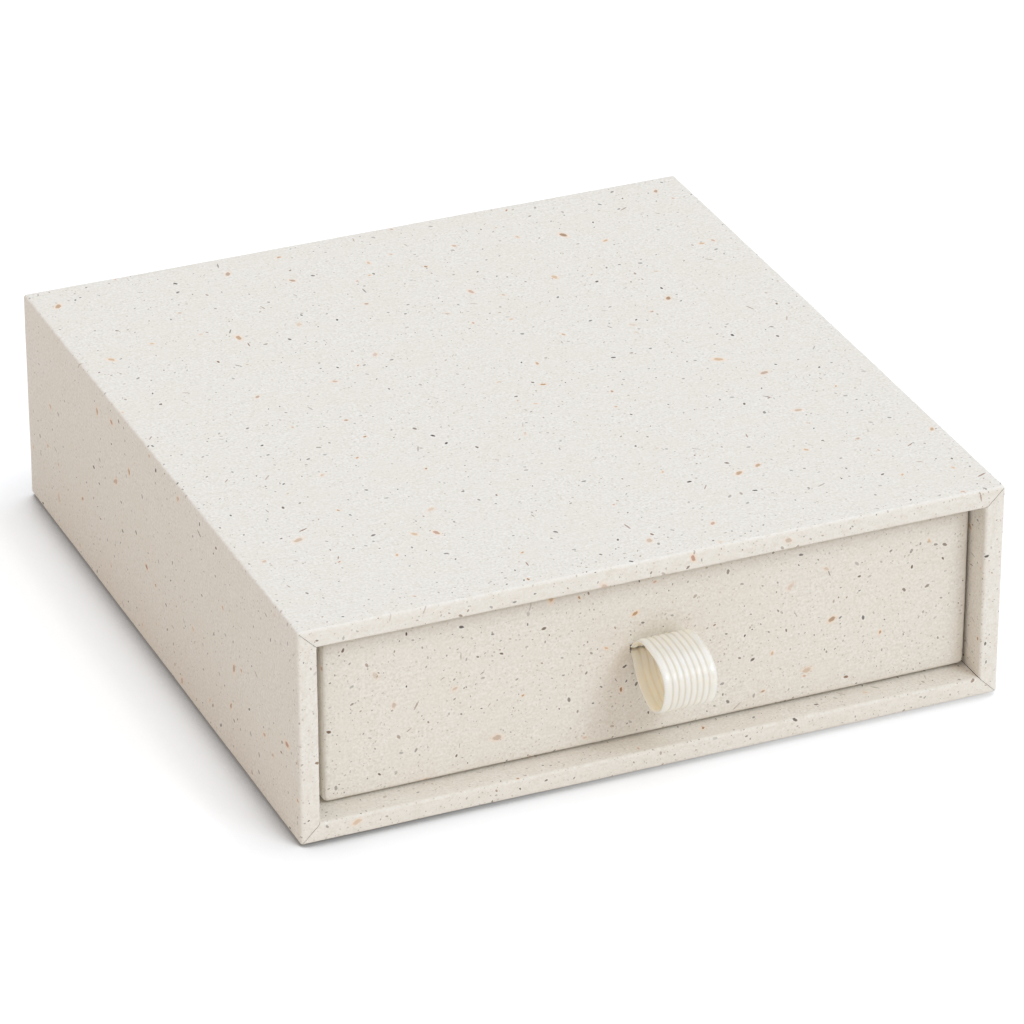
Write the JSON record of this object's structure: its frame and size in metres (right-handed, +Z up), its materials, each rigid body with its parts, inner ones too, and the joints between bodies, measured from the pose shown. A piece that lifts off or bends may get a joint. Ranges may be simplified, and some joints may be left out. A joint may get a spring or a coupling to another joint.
{
  "type": "sliding drawer gift box",
  "caption": "Paper-wrapped board sleeve, closed at the back, with a board drawer that slides out of its open front by a ribbed satin ribbon loop.",
  "frame": {"origin": "the middle of the sleeve's underside, on the surface that the box stands on", "axes": "+Z up, +X to the right as seen from the front, +Y from the open front to the closed back, so the drawer comes out towards -Y"},
  "size_m": [0.12, 0.1348, 0.0379],
  "materials": {
    "speckled_paper": "matte, with grey, brown, tan and peach fibre flecks",
    "lining_paper": "matte, plain off-white",
    "greyboard": "matte, uncoated",
    "kraft_tape": "matte",
    "cream_ribbon": "satin, ribbed lengthways"
  },
  "bodies": {
    "sleeve": {"sleeve_wrap": "speckled_paper", "sleeve_back_sheet": "speckled_paper", "sleeve_base_sheet": "speckled_paper", "sleeve_wall_lining": "lining_paper", "sleeve_back_lining": "lining_paper", "sleeve_top_board": "greyboard", "sleeve_bottom_board": "greyboard", "sleeve_left_board": "greyboard", "sleeve_right_board": "greyboard", "sleeve_back_board": "greyboard", "sleeve_right_top_tape": "kraft_tape", "sleeve_top_left_tape": "kraft_tape", "sleeve_left_bottom_tape": "kraft_tape", "sleeve_bottom_right_tape": "kraft_tape"},
    "drawer": {"drawer_wrap": "speckled_paper", "drawer_wall_lining": "lining_paper", "drawer_floor_lining": "lining_paper", "drawer_base_board": "greyboard", "drawer_front_board": "greyboard", "drawer_back_board": "greyboard", "drawer_left_board": "greyboard", "drawer_right_board": "greyboard", "drawer_right_back_tape": "kraft_tape", "drawer_back_left_tape": "kraft_tape", "drawer_left_front_tape": "kraft_tape", "drawer_front_right_tape": "kraft_tape", "ribbon_pull": "cream_ribbon", "ribbon_anchor_patch": "lining_paper"}
  },
  "joints": [
    {"name": "drawer_slide", "type": "slide", "parent": "sleeve", "child": "drawer", "axis": [0, -1, 0], "range_m": [0, 0.125]}
  ]
}
